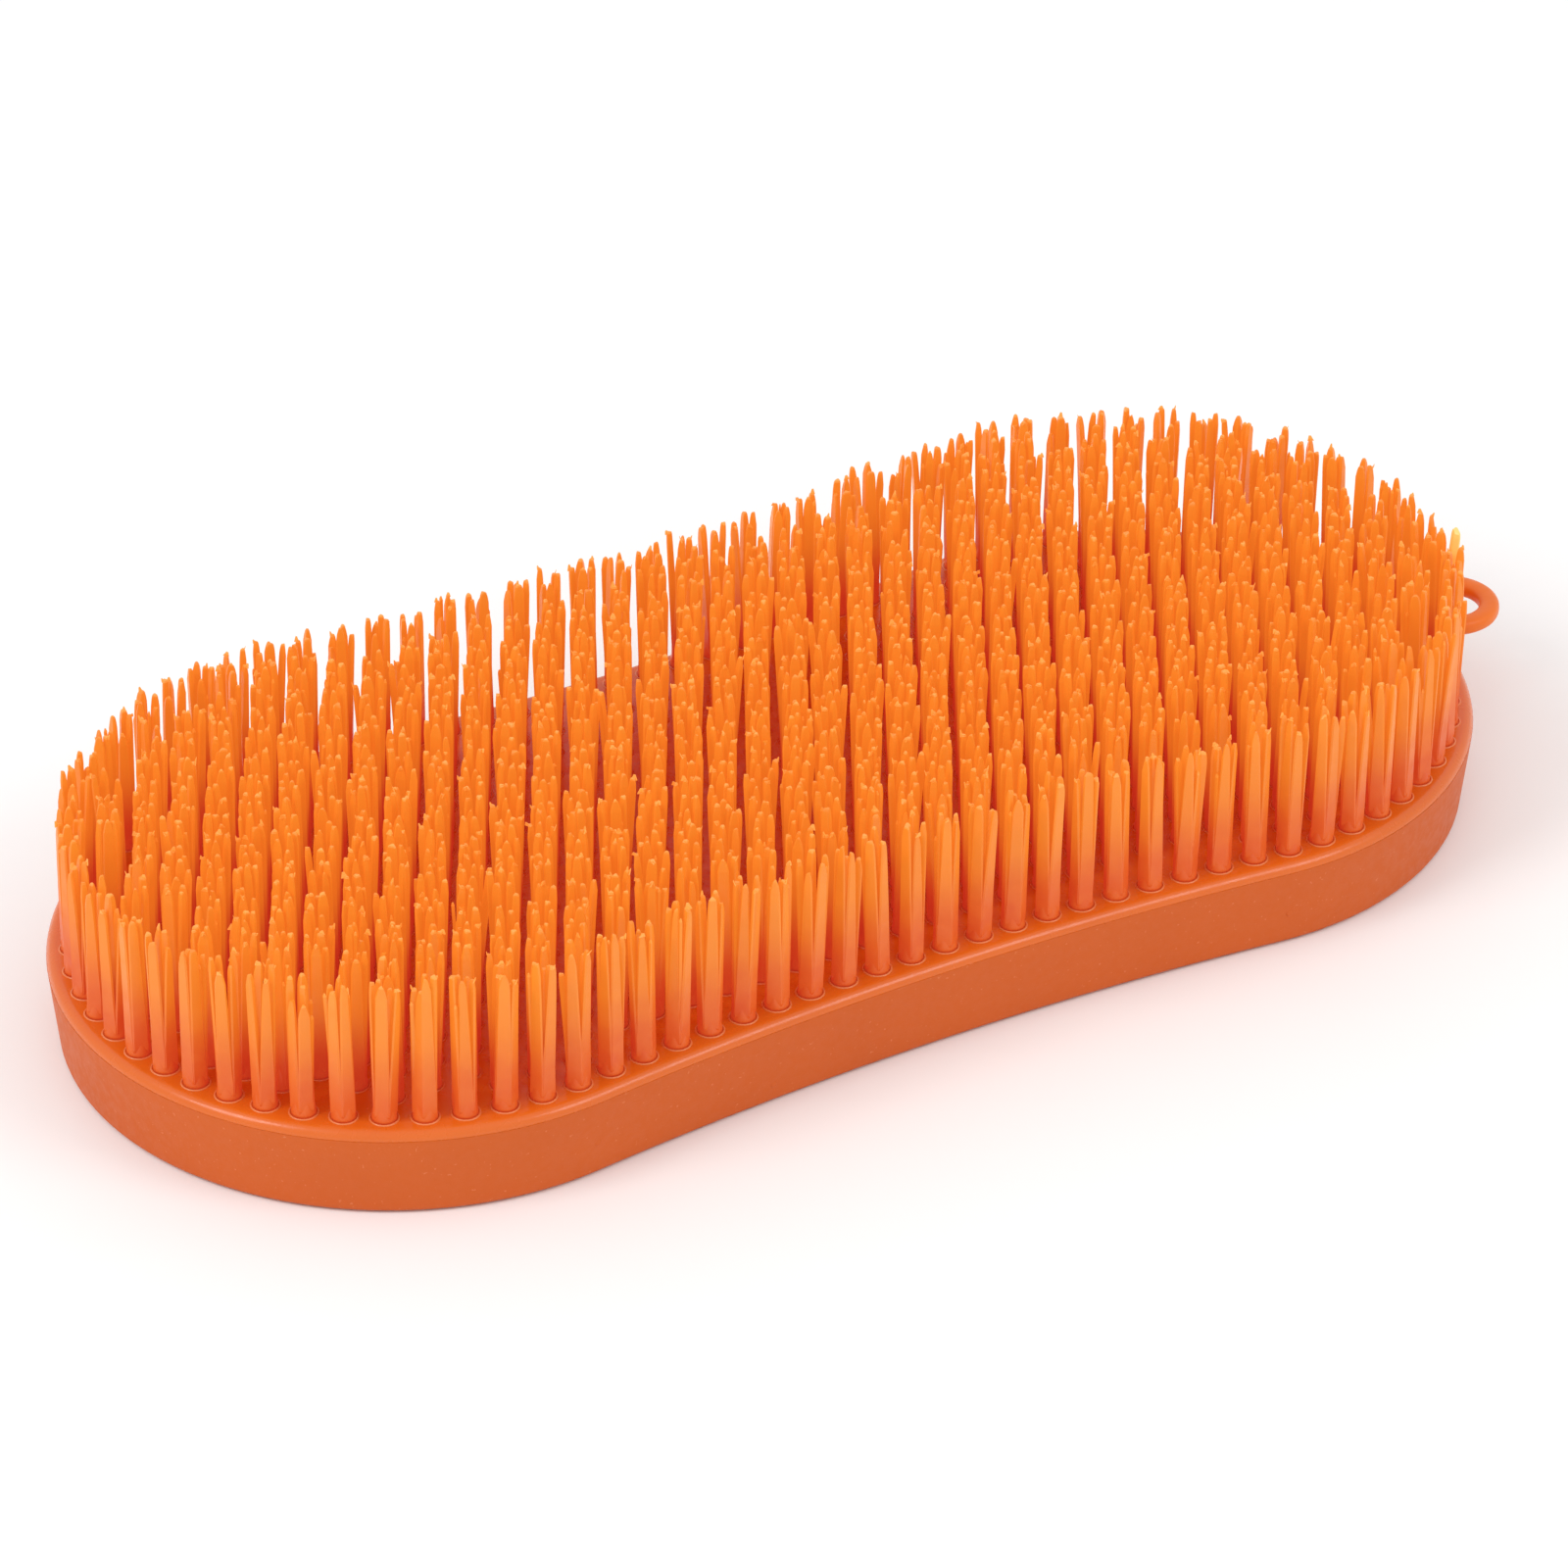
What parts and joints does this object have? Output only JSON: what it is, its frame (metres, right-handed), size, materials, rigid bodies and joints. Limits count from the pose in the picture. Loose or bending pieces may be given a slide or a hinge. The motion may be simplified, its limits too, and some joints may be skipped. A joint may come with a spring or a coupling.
{
  "type": "grooming brush",
  "caption": "Palm-sized two-lobed grooming brush: flat hollow plastic back, waisted sides, dense field of split-pin plastic tufts and a small hanging loop at one end.",
  "frame": {"origin": "centre of the flat back face", "axes": "+X along the brush towards the hanging loop, +Z along the tufts, away from the back"},
  "size_m": [0.1912, 0.08, 0.0298],
  "materials": {
    "shell": "matte moulded",
    "deck": "satin gloss moulded",
    "loop": "satin moulded",
    "tufts": "translucent satin"
  },
  "bodies": {
    "root": {"back_shell": "shell", "bristle_deck": "deck", "hanging_loop": "loop", "rim_tufts_front": "tufts", "rim_tufts_back": "tufts", "rim_tufts_plain_end": "tufts", "rim_tufts_loop_end": "tufts", "tuft_row_01": "tufts", "tuft_row_02": "tufts", "tuft_row_03": "tufts", "tuft_row_04": "tufts", "tuft_row_05": "tufts", "tuft_row_06": "tufts", "tuft_row_07": "tufts", "tuft_row_08": "tufts", "tuft_row_09": "tufts", "tuft_row_10": "tufts", "tuft_row_11": "tufts", "tuft_row_12": "tufts", "tuft_row_13": "tufts", "tuft_row_14": "tufts", "tuft_row_15": "tufts", "tuft_row_16": "tufts", "tuft_row_17": "tufts"}
  },
  "joints": []
}
